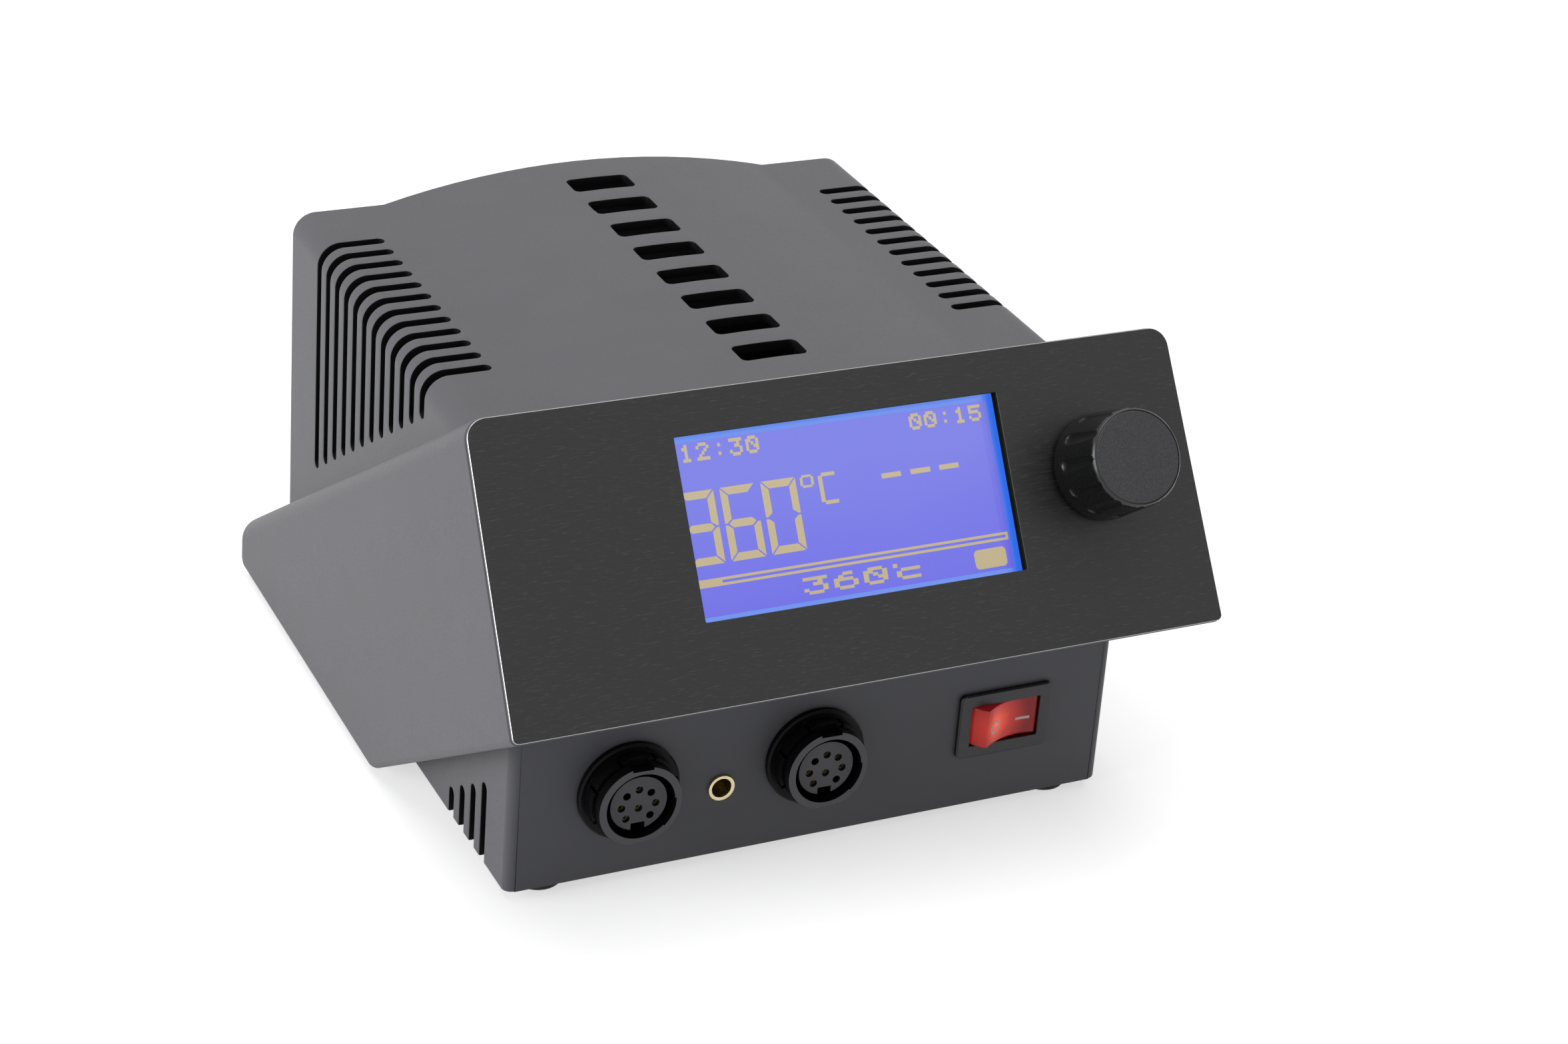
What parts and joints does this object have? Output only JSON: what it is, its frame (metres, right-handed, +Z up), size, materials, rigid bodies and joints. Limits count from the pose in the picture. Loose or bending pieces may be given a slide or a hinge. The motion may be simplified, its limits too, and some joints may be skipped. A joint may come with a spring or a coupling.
{
  "type": "soldering iron station",
  "caption": "Two-channel soldering station: grey power unit with a tilted black control panel, lit display, encoder knob, tool sockets and a red mains switch.",
  "frame": {"origin": "Centre of the station's outline in plan, on the surface that its feet stand on.", "axes": "+Z up, -Y towards the user (control panel and sockets), +X to the user's right."},
  "size_m": [0.1512, 0.1692, 0.1018],
  "materials": {
    "housing_grey": "matte powder coat",
    "panel_black": "black anodised, finely brushed",
    "display_glass": "clear window",
    "knob_black": "fine matte",
    "socket_black": "satin moulded",
    "switch_black": "satin moulded",
    "rocker_red": "translucent, lit from inside",
    "brass": "turned",
    "steel": "zinc plated",
    "rubber_black": "matte",
    "core_steel": "laminated, varnished",
    "bobbin_plastic": "moulded nylon",
    "copper_wire": "enamelled copper",
    "board_green": "solder resist",
    "dark_plastic": "moulded",
    "block_green": "moulded",
    "sleeve_blue": "shrink sleeve",
    "lead_red": "PVC insulation",
    "ribbon_grey": "PVC insulation",
    "fuse_glass": "clear tube",
    "display_lit": "lit graphic display"
  },
  "bodies": {
    "housing": {"cover": "housing_grey", "hood": "housing_grey", "base_tray": "housing_grey", "rear_panel": "housing_grey", "control_panel": "panel_black", "display_glass": "display_glass", "display_backlight": "display_lit", "display_frame": "steel", "display_board": "board_green", "display_chips": "dark_plastic", "display_screws": "steel", "encoder_body": "dark_plastic", "encoder_nut": "steel", "socket_shells": "socket_black", "socket_nuts": "steel", "socket_inserts": "socket_black", "socket_contacts": "brass", "bonding_socket": "brass", "bonding_nut": "steel", "switch_frame": "switch_black", "switch_terminals": "brass", "mains_inlet": "switch_black", "inlet_pins": "steel", "inlet_screws": "steel", "rubber_feet": "rubber_black", "foot_screws": "steel", "cover_screws": "steel", "hood_screws": "steel", "rear_screws": "steel", "transformer_core": "core_steel", "transformer_bobbin": "bobbin_plastic", "transformer_coil": "copper_wire", "transformer_strap": "steel", "transformer_screws": "steel", "transformer_leads": "lead_red", "main_board": "board_green", "board_pillars": "brass", "board_screws": "steel", "heat_sink": "panel_black", "power_triacs": "dark_plastic", "capacitors": "sleeve_blue", "terminal_blocks": "block_green", "ribbon_headers": "dark_plastic", "ribbon_cable": "ribbon_grey", "earth_stud": "steel", "earth_nut": "steel"},
    "push_rod": {"encoder_plunger": "steel"},
    "knob": {"knob": "knob_black", "knob_cap": "knob_black", "encoder_shaft": "steel"},
    "rocker": {"switch_rocker": "rocker_red"},
    "fuse_tray": {"fuse_drawer": "switch_black", "fuse": "fuse_glass"}
  },
  "joints": [
    {"name": "knob_press", "type": "slide", "parent": "housing", "child": "push_rod", "axis": [0, 0.8387, -0.5446], "range_m": [0, 0.0005], "stiffness_N_per_m": 1500, "springref_m": -0.002},
    {"name": "knob_turn", "type": "hinge", "parent": "push_rod", "child": "knob", "pos_m": [0.0538, -0.06616, 0.08001], "axis": [0, -0.8387, 0.5446], "continuous": true},
    {"name": "power_rocker", "type": "hinge", "parent": "housing", "child": "rocker", "pos_m": [0.0417, -0.05675, 0.0217], "axis": [0, 0, -1], "range_deg": [0, 24]},
    {"name": "fuse_slide", "type": "slide", "parent": "housing", "child": "fuse_tray", "axis": [0, 1, 0], "range_m": [0, 0.011]}
  ]
}
